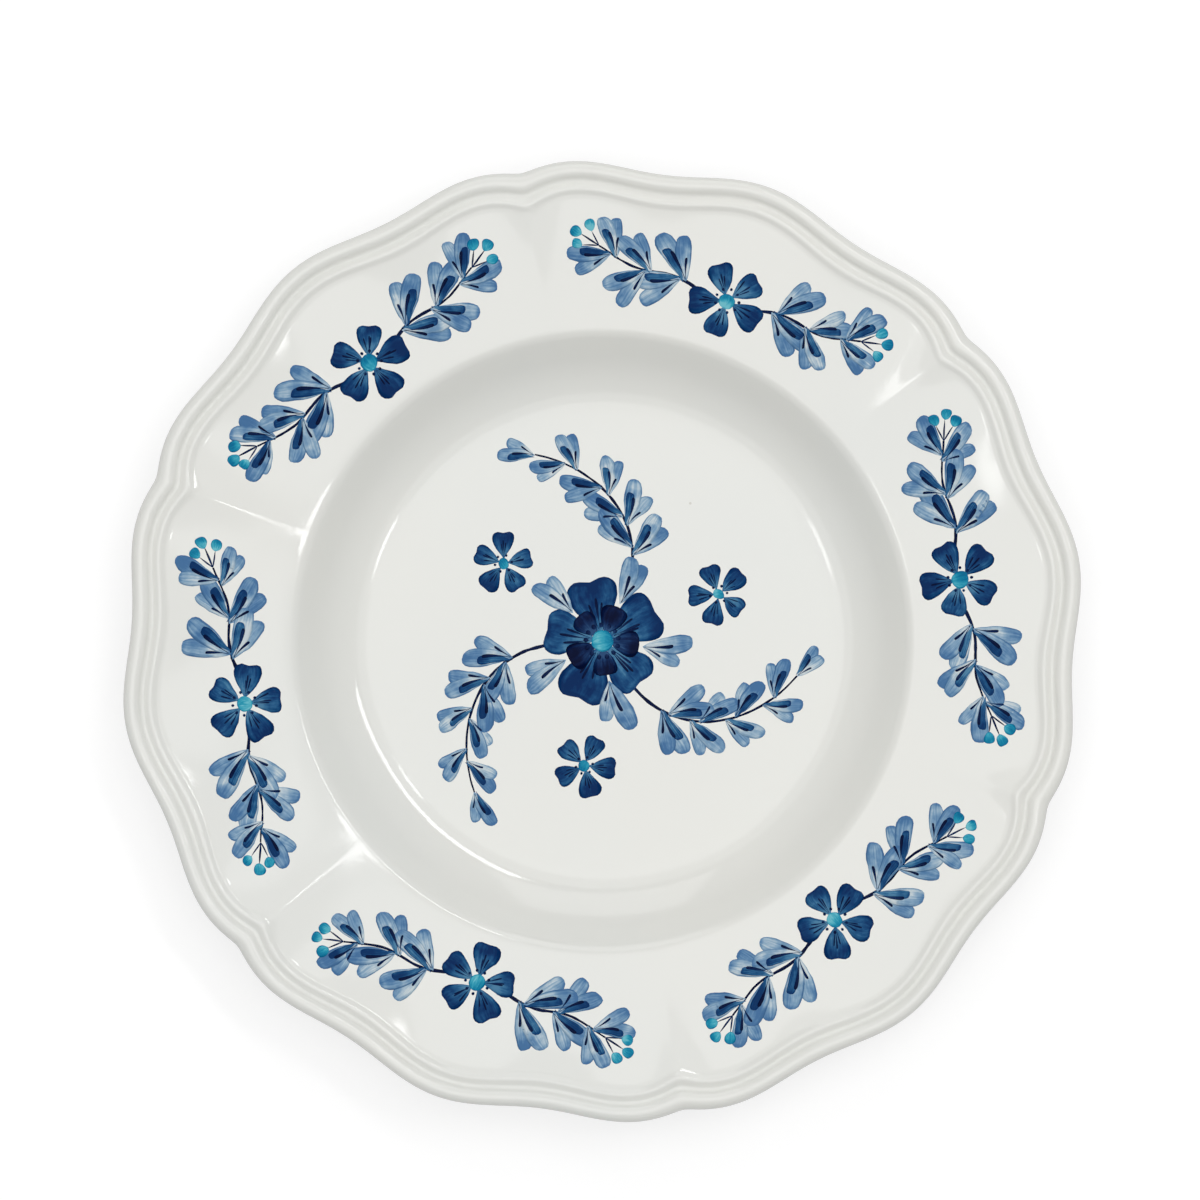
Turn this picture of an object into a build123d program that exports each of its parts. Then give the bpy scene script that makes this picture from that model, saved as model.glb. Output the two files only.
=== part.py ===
from build123d import *
import os
from math import atan2, cos, degrees, exp, hypot, radians, sin, tan

# A lobed china dinner plate: the fired body and the glaze that was fused on it.
# It stands on its foot ring at z = 0, centred on the Z axis, and the middle of one lobe
# lies on +X. Lengths are in millimetres and angles in degrees.

# Outline
plate_radius = 135.0  # to the edge over the middle of a lobe
lobe_count = 6
wave_span = 25.2  # angle from one crest of the wavy edge to the next
wave_at_rib = 2.05  # half height of the wave, at the rib and at the edge
wave_at_edge = 1.8
notch_at_rib = 4.2  # depth of the notch between two lobes
notch_at_edge = 1.85
notch_spread_at_rib = 3.5  # angle over which a notch fades
notch_spread_at_edge = 5.5
notch_rounding = 0.8  # angle over which the bottom of a notch is rounded

# Moulded lip: a roll, a groove and a rib, from the edge inwards
roll_width = 4.7
roll_height = 4.0
roll_start = 165.0  # turn of the roll's section at which it rises from the groove
groove_width = 0.8
rib_width = 3.9
rib_height = 0.9
rib_sharpness = 1.4  # power of the rib's sine-shaped section

# Rim
rim_width = 39.6  # from the well's shoulder to the rib
rim_rise = 6.0
round_rim_width = 7.0  # the part of it next to the shoulder that has no lobes
lobe_growth = 3  # power by which the lobes grow from there to the rib
crease_at_rib = 0.96  # height of the ridge that runs inwards from each notch
crease_at_edge = 0.12
crease_spread = 6.0  # angle over which a crease fades
crease_growth = 1.5

# Well
well_depth = 13.2  # from the shoulder down to the floor
wall_slope = 48.0
floor_blend = 24.0
shoulder_blend = 5.0
wall_thickness = 4.6
floor_thickness = 4.4

# Underside
recess_depth = 2.6  # from the foot's land up to the recess inside the ring
heel_width = 1.6  # flat step between the wall and the foot ring
foot_width = 5.0
foot_rounding = 0.9
foot_blend = 1.2
back_blend = 7.0

# Coats
glaze_thickness = 0.3
glaze_line_height = 1.2  # the foot is wiped clean of glaze below this line

# Points that shape the lofted skin
slope_steps = 8
blend_steps = 5
rib_steps = 5
roll_steps = 12
half_lobe_steps = 12
step_gathering = 1.6  # power by which the points crowd towards a notch
foot_root = 1.5  # the foot ring is made this much too tall, and joins the floor

half_lobe = 180 / lobe_count
roll_radius = plate_radius - roll_width / 2
rib_foot_radius = plate_radius - roll_width - groove_width - rib_width
shoulder_radius = rib_foot_radius - rim_width
lobes_start_radius = shoulder_radius + round_rim_width
floor_height = recess_depth + floor_thickness
shoulder_height = floor_height + well_depth
lip_height = shoulder_height + rim_rise
floor_corner_radius = shoulder_radius - well_depth / tan(radians(wall_slope))
rim_slope = degrees(atan2(rim_rise, rim_width))


def moved_in(corner, angle_in, angle_out, depth):
    """A corner of a profile, moved so that both its sides lie deeper in the china.

    A profile runs outwards on the face, over the lip and inwards underneath, so the open
    air is always on its left.
    """
    a, b = radians(angle_in), radians(angle_out)
    share = depth / (1 + cos(a - b))
    return (
        corner[0] + (sin(a) + sin(b)) * share,
        corner[1] - (cos(a) + cos(b)) * share,
    )


def deepened(points, depth):
    """A run of profile points, all moved into the china by one depth."""
    slopes = [degrees(atan2(q[1] - p[1], q[0] - p[0])) for p, q in zip(points, points[1:])]
    sides = zip([slopes[0], *slopes], [*slopes, slopes[-1]])
    return [moved_in(p, *side, depth) for p, side in zip(points, sides)]


def evenly(start, end, steps):
    """Points at equal steps from start to end."""
    return [tuple(a + (b - a) * k / steps for a, b in zip(start, end)) for k in range(steps + 1)]


def rounded(corner, angle_in, angle_out, radius):
    """Points of the arc that rounds a corner of a profile."""
    turn = angle_out - angle_in
    tangent = radius * abs(tan(radians(turn / 2)))
    x = corner[0] - tangent * cos(radians(angle_in))
    y = corner[1] - tangent * sin(radians(angle_in))
    side = radius if turn > 0 else -radius
    centre = (x - side * sin(radians(angle_in)), y + side * cos(radians(angle_in)))
    headings = [radians(a) for a, _ in evenly((angle_in, 0), (angle_out, 0), blend_steps)]
    return [(centre[0] + side * sin(h), centre[1] - side * cos(h)) for h in headings]


back_corner = moved_in((shoulder_radius, shoulder_height), wall_slope, rim_slope, wall_thickness)
heel_corner = moved_in((floor_corner_radius, floor_height), 0, wall_slope, floor_thickness)
heel_radius = heel_corner[0]
foot_radius = heel_radius - heel_width


def scallop(radius):
    """Wave, notch depth, notch spread and crease height of the ring of one radius."""
    if radius > rib_foot_radius:
        t = (radius - rib_foot_radius) / (plate_radius - rib_foot_radius)
        return (
            wave_at_rib + t * (wave_at_edge - wave_at_rib),
            notch_at_rib + t * (notch_at_edge - notch_at_rib),
            notch_spread_at_rib + t * (notch_spread_at_edge - notch_spread_at_rib),
            crease_at_rib + t * (crease_at_edge - crease_at_rib),
        )
    t = max(0.0, (radius - lobes_start_radius) / (rib_foot_radius - lobes_start_radius))
    return (
        wave_at_rib * t**lobe_growth,
        notch_at_rib * t**lobe_growth,
        notch_spread_at_rib,
        crease_at_rib * sin(radians(90 * t)) ** crease_growth,
    )


def ring_wire(radius, height):
    """One closed line round the plate, starting at a notch, through one profile point."""
    offsets = [half_lobe * (k / half_lobe_steps) ** step_gathering for k in range(half_lobe_steps + 1)]
    offsets += [2 * half_lobe - offset for offset in reversed(offsets[1:-1])]
    wave, notch, spread, crease = scallop(radius)
    points, knots = [], []
    for lobe in range(lobe_count):
        for offset in offsets:
            angle = half_lobe * (2 * lobe + 1) + offset
            from_notch = hypot(min(offset, 2 * half_lobe - offset), notch_rounding)
            wave_turn = radians(360 * (half_lobe - from_notch) / wave_span)
            r = radius - wave * (1 - cos(wave_turn)) - notch * exp(-from_notch / spread)
            z = height + crease * exp(-from_notch / crease_spread)
            points.append((r * cos(radians(angle)), r * sin(radians(angle)), z))
            knots.append(angle / 360)
    knots.append(knots[0] + 1)
    return Wire([Edge.make_spline(points, periodic=True, parameters=knots)])


def lip_rows(roll_end):
    """Rib, groove and roll over the middle of a lobe, as far as roll_end on the roll."""
    rib = [
        (
            rib_foot_radius + rib_width * k / rib_steps,
            lip_height + rib_height * sin(radians(180 * k / rib_steps)) ** rib_sharpness,
        )
        for k in range(rib_steps)
    ]
    groove = (rib_foot_radius + rib_width, lip_height)
    turns = [radians(turn) for turn, _ in evenly((roll_start, 0), (roll_end, 0), roll_steps)]
    roll = [
        (
            roll_radius + roll_width / 2 * cos(turn),
            lip_height + roll_height / 2 * sin(turn),
        )
        for turn in turns
    ]
    return [*rib, groove, *roll]


def lofted(rows):
    """Skin through the rings of some profile rows."""
    return Shell.make_loft([ring_wire(*row) for row in rows]).faces()


def plate_blank(depth):
    """The plate without its foot ring, its skin moved into the china by depth."""
    shoulder = (shoulder_radius, shoulder_height)
    floor_corner = (floor_corner_radius, floor_height)
    back_climb = atan2(
        lip_height - roll_height / 2 - back_corner[1], roll_radius - back_corner[0]
    )
    back_angle = degrees(back_climb) - 180
    wall_angle = degrees(atan2(heel_corner[1] - back_corner[1], heel_corner[0] - back_corner[0]))

    floor_arc = rounded(moved_in(floor_corner, 0, wall_slope, depth), 0, wall_slope, floor_blend + depth)
    shoulder_arc = rounded(
        moved_in(shoulder, wall_slope, rim_slope, depth),
        wall_slope,
        rim_slope,
        shoulder_blend - depth,
    )
    back_arc = rounded(
        moved_in(back_corner, back_angle, wall_angle, depth),
        back_angle,
        wall_angle,
        back_blend + depth,
    )
    heel = moved_in(heel_corner, wall_angle, -180, depth)

    lip = lip_rows(-90 - degrees(back_climb))
    slopes = deepened([shoulder, *lip, back_corner], depth)
    face = evenly(shoulder_arc[-1], slopes[1], slope_steps)
    back = evenly(slopes[-2], back_arc[0], slope_steps)
    runs = [
        floor_arc,
        [floor_arc[-1], shoulder_arc[0]],
        shoulder_arc,
        face,
        slopes[1:-1],
        back,
        back_arc,
        [back_arc[-1], heel],
    ]
    skins = [skin for run in runs for skin in lofted(run)]
    return Solid(Shell([*skins, Face(ring_wire(*floor_arc[0])), Face(ring_wire(*heel))]))


def foot_ring(depth, bottom, land_rounding):
    """The ring that the plate stands on, its sides moved into the china by depth."""
    ceiling = recess_depth + depth
    outer = foot_radius - depth
    inner = foot_radius - foot_width + depth
    blend = foot_blend + depth
    with BuildPart() as ring:
        with BuildSketch(Plane.XZ):
            with BuildLine():
                FilletPolyline(
                    (inner - 2 * blend, ceiling + foot_root),
                    (inner - 2 * blend, ceiling),
                    (inner, ceiling),
                    (inner, bottom),
                    (outer, bottom),
                    (outer, ceiling + foot_root),
                    radius=[0, 0, blend, land_rounding, land_rounding, 0],
                    close=True,
                )
            make_face()
        revolve(axis=Axis.Z)
    return ring.part


# Fired body, its foot ring bare

with BuildPart() as ceramic_body:
    add(plate_blank(glaze_thickness))
    add(foot_ring(glaze_thickness, 0, foot_rounding))

# Glaze: one coat over face, lip and back, and one in the recess inside the foot ring

with BuildPart() as glaze:
    add(plate_blank(0))
    add(foot_ring(0, glaze_line_height, 0))
    add(ceramic_body.part, mode=Mode.SUBTRACT)

with BuildPart() as glaze_coat:
    add(glaze.solids().sort_by(SortBy.VOLUME)[-1])

with BuildPart() as recess_glaze:
    add(glaze.solids().sort_by(SortBy.VOLUME)[0])

# Labels and files
nodes = {
    "ceramic_body": ceramic_body,
    "glaze_coat": glaze_coat,
    "recess_glaze": recess_glaze,
}
os.makedirs("parts", exist_ok=True)
for name, node in nodes.items():
    node.part.label = name
    export_step(node.part, f"parts/{name}.step")
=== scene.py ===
from math import atan2, cos, degrees, pi, radians, sin, tan
import bpy
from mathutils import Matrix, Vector


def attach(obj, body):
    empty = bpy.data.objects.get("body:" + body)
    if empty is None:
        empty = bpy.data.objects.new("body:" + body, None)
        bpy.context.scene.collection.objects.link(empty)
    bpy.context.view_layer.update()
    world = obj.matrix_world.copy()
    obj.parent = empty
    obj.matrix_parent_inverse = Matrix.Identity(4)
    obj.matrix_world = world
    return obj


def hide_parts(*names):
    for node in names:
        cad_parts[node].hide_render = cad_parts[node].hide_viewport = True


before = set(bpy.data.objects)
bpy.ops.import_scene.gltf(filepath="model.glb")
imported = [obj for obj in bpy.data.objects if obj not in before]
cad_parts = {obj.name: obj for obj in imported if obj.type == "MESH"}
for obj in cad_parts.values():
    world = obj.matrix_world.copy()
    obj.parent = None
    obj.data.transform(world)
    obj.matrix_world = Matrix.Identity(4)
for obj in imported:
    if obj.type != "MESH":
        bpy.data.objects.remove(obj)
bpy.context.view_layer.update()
mm = 0.001
scene = bpy.context.scene
fullTurn = 2 * pi


# node helpers

def feed(tree, socket, value):
    if isinstance(value, bpy.types.NodeSocket):
        tree.links.new(value, socket)
    elif value is not None:
        socket.default_value = value


def calc(tree, operation, a, b=None, c=None):
    node = tree.nodes.new("ShaderNodeMath")
    node.operation = operation
    for socket, value in zip(node.inputs, (a, b, c)):
        feed(tree, socket, value)
    return node.outputs[0]


def between(tree, share, a, b):
    return calc(tree, "MULTIPLY_ADD", share, calc(tree, "SUBTRACT", b, a), a)


def spread(tree, value, low, high, lowOut=0.0, highOut=1.0, smooth=False):
    node = tree.nodes.new("ShaderNodeMapRange")
    node.interpolation_type = "SMOOTHSTEP" if smooth else "LINEAR"
    for socket, part in zip(node.inputs, (value, low, high, lowOut, highOut)):
        feed(tree, socket, part)
    return node.outputs[0]


def geometryTree(name, sizes):
    # a tree with one geometry input, one named input per size, and a geometry output
    tree = bpy.data.node_groups.new(name, "GeometryNodeTree")
    tree.interface.new_socket("Geometry", in_out="INPUT", socket_type="NodeSocketGeometry")
    tree.interface.new_socket("Geometry", in_out="OUTPUT", socket_type="NodeSocketGeometry")
    kinds = {int: "NodeSocketInt", float: "NodeSocketFloat"}
    for label, value in sizes.items():
        kind = kinds.get(type(value), "NodeSocketObject")
        kind = "NodeSocketMaterial" if isinstance(value, bpy.types.Material) else kind
        tree.interface.new_socket(label, in_out="INPUT", socket_type=kind)
    start = tree.nodes.new("NodeGroupInput")
    return tree, {socket.name: socket for socket in start.outputs}


def grown(piece, tree, sizes, name):
    # runs the tree on the piece and returns the result as a plain mesh object
    modifier = piece.modifiers.new("grow", "NODES")
    modifier.node_group = tree
    for item in tree.interface.items_tree:
        if item.in_out == "INPUT" and item.name in sizes:
            modifier[item.identifier] = sizes[item.name]
    evaluated = piece.evaluated_get(bpy.context.evaluated_depsgraph_get())
    mesh = bpy.data.meshes.new_from_object(evaluated)
    piece.modifiers.remove(modifier)
    for slot in reversed(range(len(mesh.materials))):
        if mesh.materials[slot] is None:
            mesh.materials.pop(index=slot)
    result = bpy.data.objects.new(name, mesh)
    scene.collection.objects.link(result)
    print(name, len(mesh.polygons), "faces", [m and m.name for m in mesh.materials])
    return result


def nodeOf(tree, kind, inputs=(), **settings):
    node = tree.nodes.new(kind)
    for key, value in settings.items():
        setattr(node, key, value)
    for key, value in dict(inputs).items():
        feed(tree, node.inputs[key], value)
    return node


def split(tree, vector):
    return nodeOf(tree, "ShaderNodeSeparateXYZ", {0: vector}).outputs


def combine(tree, x, y, z):
    return nodeOf(tree, "ShaderNodeCombineXYZ", {0: x, 1: y, 2: z}).outputs[0]


def kept(tree, geometry, name, value):
    # keeps the value on every point under this name
    return nodeOf(tree, "GeometryNodeStoreNamedAttribute", {
        "Geometry": geometry, "Name": name, "Value": value,
    }, data_type="FLOAT", domain="POINT").outputs[0]


def recalled(tree, name, kind="FLOAT"):
    node = nodeOf(tree, "GeometryNodeInputNamedAttribute", {"Name": name}, data_type=kind)
    return node.outputs[0]


def joined(tree, parts):
    join = tree.nodes.new("GeometryNodeJoinGeometry")
    for part in parts:
        tree.links.new(part, join.inputs[0])
    return join.outputs[0]


def placeOf(tree):
    return tree.nodes.new("GeometryNodeInputPosition").outputs[0]


def movedTo(tree, geometry, place):
    node = nodeOf(tree, "GeometryNodeSetPosition", {"Geometry": geometry, "Position": place})
    return node.outputs[0]


def finished(tree, geometry, material):
    # every tree ends in the same two nodes
    real = nodeOf(tree, "GeometryNodeRealizeInstances", {0: geometry}).outputs[0]
    painted = nodeOf(tree, "GeometryNodeSetMaterial", {"Geometry": real, "Material": material})
    nodeOf(tree, "NodeGroupOutput", {0: painted.outputs[0]})
    return tree


def meshPiece(name, points, edges=(), faces=()):
    mesh = bpy.data.meshes.new(name)
    mesh.from_pydata(points, edges, faces)
    piece = bpy.data.objects.new(name, mesh)
    scene.collection.objects.link(piece)
    return piece


# the profile of the plate, in millimetres, as the turner's template has it

plateShape = {
    "edgeRadius": 135.0,
    "rollWidth": 4.7,
    "rollHeight": 4.0,
    "rollStart": 165.0,
    "grooveWidth": 0.8,
    "ribWidth": 3.9,
    "ribHeight": 0.9,
    "ribSharpness": 1.4,
    "rimWidth": 39.6,
    "roundRimWidth": 7.0,
    "rimRise": 6.0,
    "wellDepth": 13.2,
    "wallSlope": 48.0,
    "floorBlend": 24.0,
    "shoulderBlend": 5.0,
    "wallThickness": 4.6,
    "floorThickness": 4.4,
    "recessDepth": 2.6,
    "heelWidth": 1.6,
    "backBlend": 7.0,
    "glazeThickness": 0.3,
    "glazeLineHeight": 1.2,
}
p = plateShape
rollRadius = p["edgeRadius"] - p["rollWidth"] / 2
grooveRadius = p["edgeRadius"] - p["rollWidth"] - p["grooveWidth"]
ribFootRadius = grooveRadius - p["ribWidth"]
shoulderRadius = ribFootRadius - p["rimWidth"]
floorHeight = p["recessDepth"] + p["floorThickness"]
shoulderHeight = floorHeight + p["wellDepth"]
lipHeight = shoulderHeight + p["rimRise"]
floorCornerRadius = shoulderRadius - p["wellDepth"] / tan(radians(p["wallSlope"]))
rimSlope = degrees(atan2(p["rimRise"], p["rimWidth"]))


def movedIn(corner, angleIn, angleOut, depth):
    a, b = radians(angleIn), radians(angleOut)
    share = depth / (1 + cos(a - b))
    return corner[0] + (sin(a) + sin(b)) * share, corner[1] - (cos(a) + cos(b)) * share


def rounded(corner, angleIn, angleOut, radius, steps):
    turn = angleOut - angleIn
    tangent = radius * abs(tan(radians(turn / 2)))
    x = corner[0] - tangent * cos(radians(angleIn))
    y = corner[1] - tangent * sin(radians(angleIn))
    side = radius if turn > 0 else -radius
    centre = (x - side * sin(radians(angleIn)), y + side * cos(radians(angleIn)))
    headings = [radians(angleIn + turn * k / steps) for k in range(steps + 1)]
    return [(centre[0] + side * sin(h), centre[1] - side * cos(h)) for h in headings]


def evenly(start, end, steps):
    return [tuple(a + (b - a) * k / steps for a, b in zip(start, end)) for k in range(steps + 1)]


rowSteps = {
    # into how many steps each run of the profile is cut
    "floor": 12,
    "floorBlend": 18,
    "wall": 5,
    "shoulder": 10,
    "rim": 26,
    "rib": 10,
    "roll": 22,
    "back": 20,
    "backBlend": 10,
    "underWell": 8,
    "foot": 3,
}


def skinRows(depth, fineness):
    # from the middle of the well over the lip to the glaze line on the foot, in by depth
    def count(run):
        return max(1, round(rowSteps[run] * fineness))

    floorCorner = (floorCornerRadius, floorHeight)
    shoulder = (shoulderRadius, shoulderHeight)
    backCorner = movedIn(shoulder, p["wallSlope"], rimSlope, p["wallThickness"])
    heel = movedIn(floorCorner, 0, p["wallSlope"], p["floorThickness"])
    climb = atan2(lipHeight - p["rollHeight"] / 2 - backCorner[1], rollRadius - backCorner[0])
    backAngle = degrees(climb) - 180
    wallAngle = degrees(atan2(heel[1] - backCorner[1], heel[0] - backCorner[0]))
    footRadius = heel[0] - p["heelWidth"]

    floorArc = rounded(
        movedIn(floorCorner, 0, p["wallSlope"], depth),
        0, p["wallSlope"], p["floorBlend"] + depth, count("floorBlend"),
    )
    shoulderArc = rounded(
        movedIn(shoulder, p["wallSlope"], rimSlope, depth),
        p["wallSlope"], rimSlope, p["shoulderBlend"] - depth, count("shoulder"),
    )
    ribSteps = count("rib")
    rib = []
    for k in range(1, ribSteps):
        swell = p["ribHeight"] * sin(pi * k / ribSteps) ** p["ribSharpness"]
        rib.append((ribFootRadius + p["ribWidth"] * k / ribSteps, lipHeight + swell - depth))
    roll = []
    for turn, _ in evenly((p["rollStart"], 0), (-90 - degrees(climb), 0), count("roll")):
        roll.append((
            rollRadius + (p["rollWidth"] / 2 - depth) * cos(radians(turn)),
            lipHeight + (p["rollHeight"] / 2 - depth) * sin(radians(turn)),
        ))
    backArc = rounded(
        movedIn(backCorner, backAngle, wallAngle, depth),
        backAngle, wallAngle, p["backBlend"] + depth, count("backBlend"),
    )
    ribFoot = movedIn((ribFootRadius, lipHeight), rimSlope, rimSlope, depth)
    rows = evenly((0, floorHeight - depth), floorArc[0], count("floor"))[:-1]
    rows += floorArc[:-1] + evenly(floorArc[-1], shoulderArc[0], count("wall"))[:-1]
    rows += shoulderArc[:-1] + evenly(shoulderArc[-1], ribFoot, count("rim"))
    rows += rib + [(grooveRadius, lipHeight - depth)] + roll[:-1]
    rows += evenly(roll[-1], backArc[0], count("back"))[:-1] + backArc[:-1]
    rows += evenly(backArc[-1], movedIn(heel, wallAngle, -180, depth), count("underWell"))
    rows += evenly(
        (footRadius - depth, p["recessDepth"] + depth),
        (footRadius - depth, p["glazeLineHeight"]), count("foot"),
    )
    return rows


# the glazed skin: the template turned about the axis, then pushed in at waves and notches

lobeSizes = {
    "Lobes": 6,
    "Steps in half a lobe": 44,
    "Step gathering": 1.35,
    "Rib foot radius": ribFootRadius * mm,
    "Edge radius": p["edgeRadius"] * mm,
    "Lobes start radius": (shoulderRadius + p["roundRimWidth"]) * mm,
    "Lobe growth": 3.0,
    "Wave angle": 25.2,
    "Wave at rib": 2.05 * mm,
    "Wave at edge": 1.8 * mm,
    "Notch at rib": 4.2 * mm,
    "Notch at edge": 1.85 * mm,
    "Notch spread at rib": 3.5,
    "Notch spread at edge": 5.5,
    "Notch rounding": 0.8,
    "Crease at rib": 0.96 * mm,
    "Crease at edge": 0.12 * mm,
    "Crease spread": 6.0,
    "Crease rounding": 0.4,
    "Crease start radius": shoulderRadius * mm,
    "Shoulder height": shoulderHeight * mm,
    "Rim slope": p["rimRise"] / p["rimWidth"],
    "Face margin": 1.5 * mm,
    "Crease growth on back": 1.5,
    "Merge distance": 0.002 * mm,
}


def turnedPlateTree(sizes):
    tree, given = geometryTree("turnedPlate", sizes)
    counts = nodeOf(tree, "GeometryNodeAttributeDomainSize", {"Geometry": given["Geometry"]})
    rows = counts.outputs[0]
    halfSteps = given["Steps in half a lobe"]
    lobeSteps = calc(tree, "MULTIPLY", halfSteps, 2.0)
    allSteps = calc(tree, "MULTIPLY", lobeSteps, given["Lobes"])
    lastRow = calc(tree, "SUBTRACT", rows, 1.0)
    grid = nodeOf(tree, "GeometryNodeMeshGrid", {
        "Size X": lastRow, "Size Y": allSteps,
        "Vertices X": rows, "Vertices Y": calc(tree, "ADD", allSteps, 1.0),
    })
    place = placeOf(tree)
    gridPlace = split(tree, place)
    row = calc(tree, "ROUND", calc(tree, "MULTIPLY_ADD", lastRow, 0.5, gridPlace[0]))
    step = calc(tree, "ROUND", calc(tree, "MULTIPLY_ADD", allSteps, 0.5, gridPlace[1]))
    template = nodeOf(tree, "GeometryNodeSampleIndex", {
        "Geometry": given["Geometry"], "Value": place, "Index": row,
    }, data_type="FLOAT_VECTOR").outputs[0]
    radius, _, height = split(tree, template)

    # where the point stands in its lobe, counted from the notch
    halfLobe = calc(tree, "DIVIDE", 180.0, given["Lobes"])
    inLobe = calc(tree, "MODULO", step, lobeSteps)
    fromNear = calc(tree, "MINIMUM", inLobe, calc(tree, "SUBTRACT", lobeSteps, inLobe))
    offset = calc(tree, "POWER", calc(tree, "DIVIDE", fromNear, halfSteps), given["Step gathering"])
    offset = calc(tree, "MULTIPLY", offset, halfLobe)
    pastMiddle = calc(tree, "GREATER_THAN", inLobe, halfSteps)
    mirrorOffset = calc(tree, "MULTIPLY_ADD", halfLobe, 2.0, calc(tree, "MULTIPLY", offset, -1.0))
    lobeAngle = between(tree, pastMiddle, offset, mirrorOffset)
    lobe = calc(tree, "FLOOR", calc(tree, "DIVIDE", step, lobeSteps))
    lobeStart = calc(tree, "MULTIPLY", calc(tree, "MULTIPLY_ADD", lobe, 2.0, 1.0), halfLobe)
    angle = calc(tree, "RADIANS", calc(tree, "ADD", lobeStart, lobeAngle))

    def blunted(rounding):
        # the angle from the notch, never quite 0, so that the fold has a round bottom
        squares = [calc(tree, "MULTIPLY", side, side) for side in (offset, rounding)]
        return calc(tree, "SQRT", calc(tree, "ADD", *squares))

    def fade(angleSpread, away):
        power = calc(tree, "DIVIDE", calc(tree, "MULTIPLY", away, -1.0), angleSpread)
        return calc(tree, "EXPONENT", power)

    # how strong the wave, the notch and the crease are at this radius
    outward = spread(tree, radius, given["Rib foot radius"], given["Edge radius"])
    inward = spread(tree, radius, given["Lobes start radius"], given["Rib foot radius"])
    growth = calc(tree, "POWER", inward, given["Lobe growth"])
    waveDepth = between(tree, outward, given["Wave at rib"], given["Wave at edge"])
    notchDepth = between(tree, outward, given["Notch at rib"], given["Notch at edge"])
    wave = calc(tree, "MULTIPLY", growth, waveDepth)
    notch = calc(tree, "MULTIPLY", growth, notchDepth)
    notchSpread = between(
        tree, outward, given["Notch spread at rib"], given["Notch spread at edge"],
    )
    fromNotch = blunted(given["Notch rounding"])

    # the crease rises evenly along the face and in a curve along the back
    quarter = calc(tree, "SINE", calc(tree, "MULTIPLY", inward, pi / 2))
    backShare = calc(tree, "POWER", quarter, given["Crease growth on back"])
    faceShare = spread(tree, radius, given["Crease start radius"], given["Rib foot radius"])
    fromShoulder = calc(tree, "SUBTRACT", radius, given["Crease start radius"])
    faceLevel = calc(
        tree, "MULTIPLY_ADD", fromShoulder, given["Rim slope"], given["Shoulder height"],
    )
    lowestFace = calc(tree, "SUBTRACT", faceLevel, given["Face margin"])
    onFace = calc(tree, "GREATER_THAN", height, lowestFace)
    creaseHeight = between(tree, outward, given["Crease at rib"], given["Crease at edge"])
    crease = calc(tree, "MULTIPLY", between(tree, onFace, backShare, faceShare), creaseHeight)
    fromCrease = blunted(given["Crease rounding"])

    turn = calc(tree, "DIVIDE", calc(tree, "SUBTRACT", halfLobe, fromNotch), given["Wave angle"])
    turn = calc(tree, "MULTIPLY", turn, fullTurn)
    swing = calc(tree, "SUBTRACT", 1.0, calc(tree, "COSINE", turn))
    reach = calc(tree, "SUBTRACT", radius, calc(tree, "MULTIPLY", wave, swing))
    notched = calc(tree, "MULTIPLY", notch, fade(notchSpread, fromNotch))
    reach = calc(tree, "SUBTRACT", reach, notched)
    level = calc(tree, "MULTIPLY_ADD", crease, fade(given["Crease spread"], fromCrease), height)
    x, y = [calc(tree, "MULTIPLY", reach, calc(tree, side, angle)) for side in ("COSINE", "SINE")]
    moved = movedTo(tree, grid.outputs["Mesh"], combine(tree, x, y, level))
    merged = nodeOf(tree, "GeometryNodeMergeByDistance", {
        "Geometry": moved, "Distance": given["Merge distance"],
    })
    smooth = nodeOf(tree, "GeometryNodeSetShadeSmooth", {"Geometry": merged.outputs[0]})
    return finished(tree, smooth.outputs[0], given["Glaze"])


# materials

# nearly all values of a noise texture lie between the first two, and most between the others
usualNoise = (0.3, 0.7)
middleNoise = (0.35, 0.65)
glazeFinish = {
    "white": (0.85, 0.86, 0.825),
    "warmWhite": (0.865, 0.865, 0.82),
    "tintScale": 9.0,
    "roughness": (0.045, 0.085),
    "roughnessScale": 60.0,
    "ior": 1.52,
    "ripple": 0.12,
    "rippleScale": 22.0,
    "fineRipple": 0.012,
    "fineRippleScale": 420.0,
    "rippleDepth": 0.004,
    "speckColour": (0.42, 0.38, 0.3),
    "speckStrength": 0.35,
    "speckScale": 95.0,
    "speckSize": 0.035,
    "speckRarity": 0.93,
}
paintFinish = {
    # how strongly a full load takes red, green and blue out of the white
    "thinned": (2.73, 1.7, 0.86),
    "cobalt": (2.6, 1.45, 0.82),
    "navy": (2.8, 1.95, 1.18),
    "turquoise": (2.6, 0.72, 0.4),
    "ground": (0.83, 0.84, 0.81),
    "gloss": 0.03,
    "hairsAlong": 1.6,
    "hairsAcross": 9.0,
    "poolScale": 210.0,
    "baseUntil": 0.1,
    "tipFrom": 0.9,
    "tideStart": 0.78,
    "tideEnd": 0.96,
    "markShift": 37.0,  # so that no two marks have the same streaks
}
biscuitFinish = {
    "clay": (0.66, 0.62, 0.54),
    "worn": (0.5, 0.47, 0.42),
    "roughness": (0.55, 0.75),
    "grainScale": 1400.0,
    "grainStrength": 0.5,
    "grainDepth": 0.2 * mm,
    "wearScale": 70.0,
    "wearRange": (0.42, 0.7),
}


def newMaterial(name):
    material = bpy.data.materials.new(name)
    material.use_nodes = True
    tree = material.node_tree
    shader = tree.nodes["Principled BSDF"]
    return material, tree, shader


def noise(tree, vector, scale, detail=2.0, roughness=0.5):
    return nodeOf(tree, "ShaderNodeTexNoise", {
        "Vector": vector, "Scale": scale, "Detail": detail, "Roughness": roughness,
    }).outputs[0]


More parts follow.
